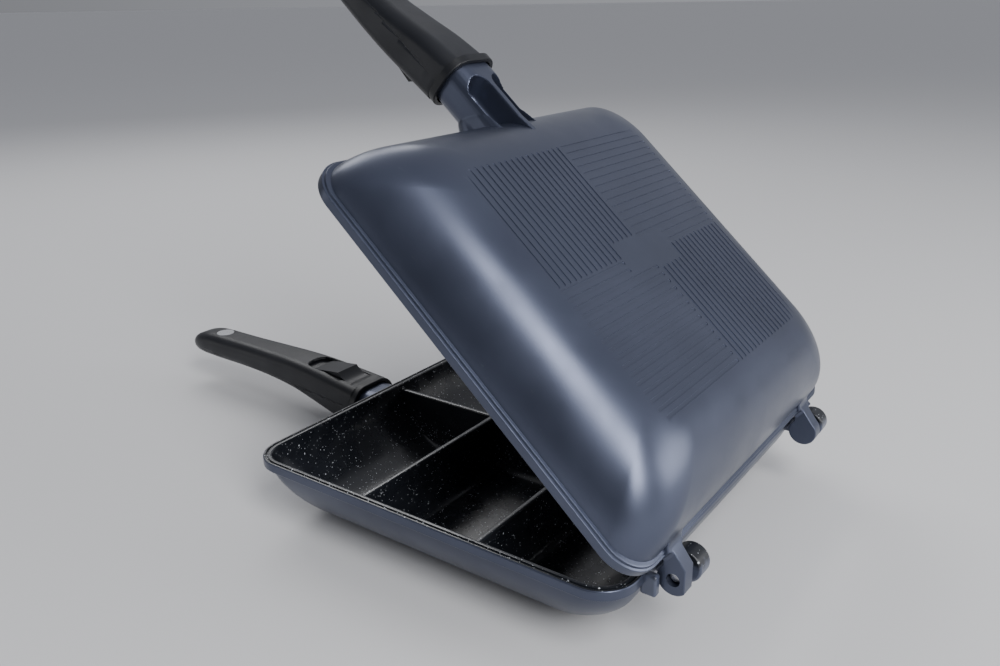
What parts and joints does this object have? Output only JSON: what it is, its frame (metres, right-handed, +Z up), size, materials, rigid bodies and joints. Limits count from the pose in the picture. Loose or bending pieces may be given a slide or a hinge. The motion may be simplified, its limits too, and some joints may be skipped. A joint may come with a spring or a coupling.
{
  "type": "double sided flip pan",
  "caption": "Two shallow cast pans hinged along one side, the lower one divided into compartments, each with a plug-on handle.",
  "frame": {"origin": "centre of the lower pan's flat bottom, on the surface it rests on", "axes": "+X along the hinge, +Y from the hinge towards the handles, +Z up"},
  "size_m": [0.23, 0.4308, 0.3319],
  "materials": {
    "stone_coat": "semi-gloss black non-stick coating with pale specks, on cast aluminium",
    "shell_coat": "satin slate blue coating on cast aluminium",
    "grip_plastic": "semi-matte charcoal moulded plastic",
    "collar_plastic": "semi-matte dark moulded plastic",
    "button_plastic": "semi-matte charcoal moulded plastic",
    "steel": "plain bright steel",
    "magnet": "nickel-plated magnet"
  },
  "bodies": {
    "base": {"base_pan": "stone_coat", "hinge_pin_near": "steel", "hinge_pin_far": "steel", "base_handle_collar": "collar_plastic", "base_socket_sleeve": "steel", "base_grip_cover": "grip_plastic", "base_grip_shell": "grip_plastic", "base_lever_pin": "steel", "base_return_spring": "steel", "base_handle_magnet": "magnet", "base_grip_screws": "steel"},
    "lid": {"lid_pan": "shell_coat", "lid_handle_collar": "collar_plastic", "lid_socket_sleeve": "steel", "lid_grip_cover": "grip_plastic", "lid_grip_shell": "grip_plastic", "lid_lever_pin": "steel", "lid_return_spring": "steel", "lid_handle_magnet": "magnet", "lid_grip_screws": "steel"},
    "base_release": {"base_release_slider": "button_plastic"},
    "base_latch": {"base_latch_lever": "steel"},
    "lid_release": {"lid_release_slider": "button_plastic"},
    "lid_latch": {"lid_latch_lever": "steel"}
  },
  "joints": [
    {"name": "lid_hinge", "type": "hinge", "parent": "base", "child": "lid", "pos_m": [0, -0.1175, 0.0356], "axis": [1, 0, 0], "range_deg": [-42, 128]},
    {"name": "base_release_slide", "type": "slide", "parent": "base", "child": "base_release", "axis": [0, 0.9945, 0.1045], "range_m": [0, 0.006], "stiffness_N_per_m": 300, "springref_m": -0.006, "deforming": ["base_return_spring"]},
    {"name": "base_latch_turn", "type": "hinge", "parent": "base", "child": "base_latch", "pos_m": [0, 0.16182, 0.0248], "axis": [-1, 0, 0], "range_deg": [0, 8]},
    {"name": "lid_release_slide", "type": "slide", "parent": "lid", "child": "lid_release", "axis": [0, 0.809, 0.5878], "range_m": [0, 0.006], "stiffness_N_per_m": 300, "springref_m": -0.006, "deforming": ["lid_return_spring"]},
    {"name": "lid_latch_turn", "type": "hinge", "parent": "lid", "child": "lid_latch", "pos_m": [0, 0.07951, 0.23424], "axis": [1, 0, 0], "range_deg": [0, 8]}
  ],
  "couplings": [
    {"joint": "base_latch_turn", "follows": "base_release_slide", "rad_per_m": 23.242},
    {"joint": "lid_latch_turn", "follows": "lid_release_slide", "rad_per_m": 23.242}
  ]
}
